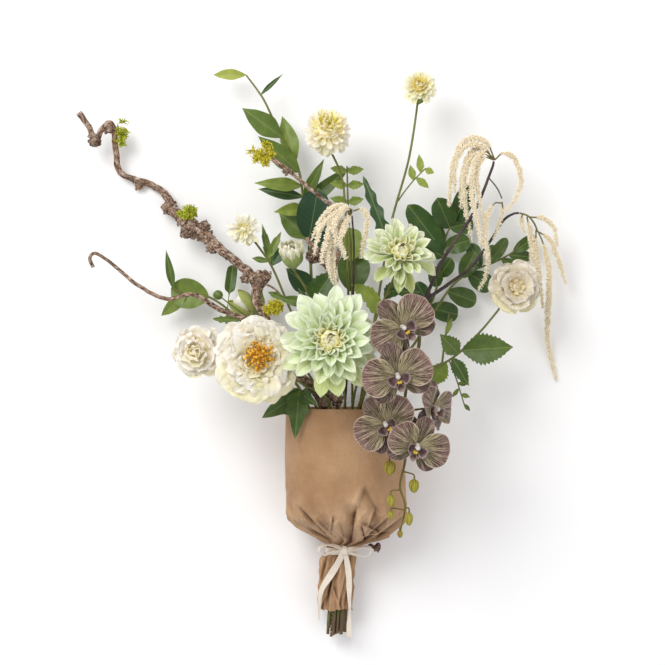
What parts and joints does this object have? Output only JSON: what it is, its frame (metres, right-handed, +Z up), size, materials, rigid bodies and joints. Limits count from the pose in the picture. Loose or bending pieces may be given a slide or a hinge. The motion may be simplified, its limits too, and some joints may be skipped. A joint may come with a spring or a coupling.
{
  "type": "mixed flower bouquet",
  "caption": "Loose bouquet of dahlias, peonies, orchids, amaranth, leaves and a lichened branch, wrapped in kraft paper and tied with cotton tape.",
  "frame": {"origin": "middle of the flat spot under the paper wrap that the bouquet lies on", "axes": "+Y from the cut stems to the blooms, +Z up, out of the face of the bouquet, +X to the right of the bouquet seen from above"},
  "size_m": [0.704, 0.8148, 0.2698],
  "materials": {
    "kraft_paper": "matte",
    "cotton_tape": "matte",
    "green_petal": "matte",
    "cream_petal": "matte",
    "stamen": "matte",
    "orchid_petal": "satin",
    "flower_stem": "satin",
    "dark_stem": "satin",
    "leaf": "satin",
    "light_leaf": "satin",
    "amaranth": "matte",
    "bark": "matte",
    "lichen": "matte"
  },
  "bodies": {
    "root": {"paper_wrap": "kraft_paper", "tape_bow": "cotton_tape", "large_dahlia": "green_petal", "large_dahlia_stem": "flower_stem", "medium_dahlia": "green_petal", "medium_dahlia_stem": "flower_stem", "open_peony": "cream_petal", "open_peony_stem": "flower_stem", "peony_stamens": "stamen", "right_peony": "cream_petal", "right_peony_stem": "flower_stem", "left_ranunculus": "cream_petal", "left_ranunculus_stem": "flower_stem", "pompon": "cream_petal", "pompon_stem": "flower_stem", "tall_mum": "cream_petal", "tall_mum_stem": "flower_stem", "left_daisy": "cream_petal", "left_daisy_stem": "flower_stem", "green_bud": "green_petal", "green_bud_stem": "flower_stem", "white_bud": "cream_petal", "white_bud_stem": "flower_stem", "orchid_1": "orchid_petal", "orchid_2": "orchid_petal", "orchid_3": "orchid_petal", "orchid_4": "orchid_petal", "orchid_5": "orchid_petal", "orchid_spray_stem": "flower_stem", "amaranth_stem": "dark_stem", "amaranth_top_tassels": "amaranth", "amaranth_low_tassels": "amaranth", "amaranth_right_tassels": "amaranth", "middle_amaranth_stem": "dark_stem", "middle_amaranth_tassels": "amaranth", "long_branch": "bark", "short_branch": "bark", "lichen_tip": "lichen", "lichen_bend": "lichen", "lichen_top": "lichen", "lichen_fork": "lichen", "broad_leaf_spray": "leaf", "round_leaf_spray": "leaf", "arching_leaf_spray": "light_leaf", "paired_leaf_sprig": "light_leaf", "left_leaf_spray": "leaf", "ivy_spray": "leaf"}
  },
  "joints": []
}
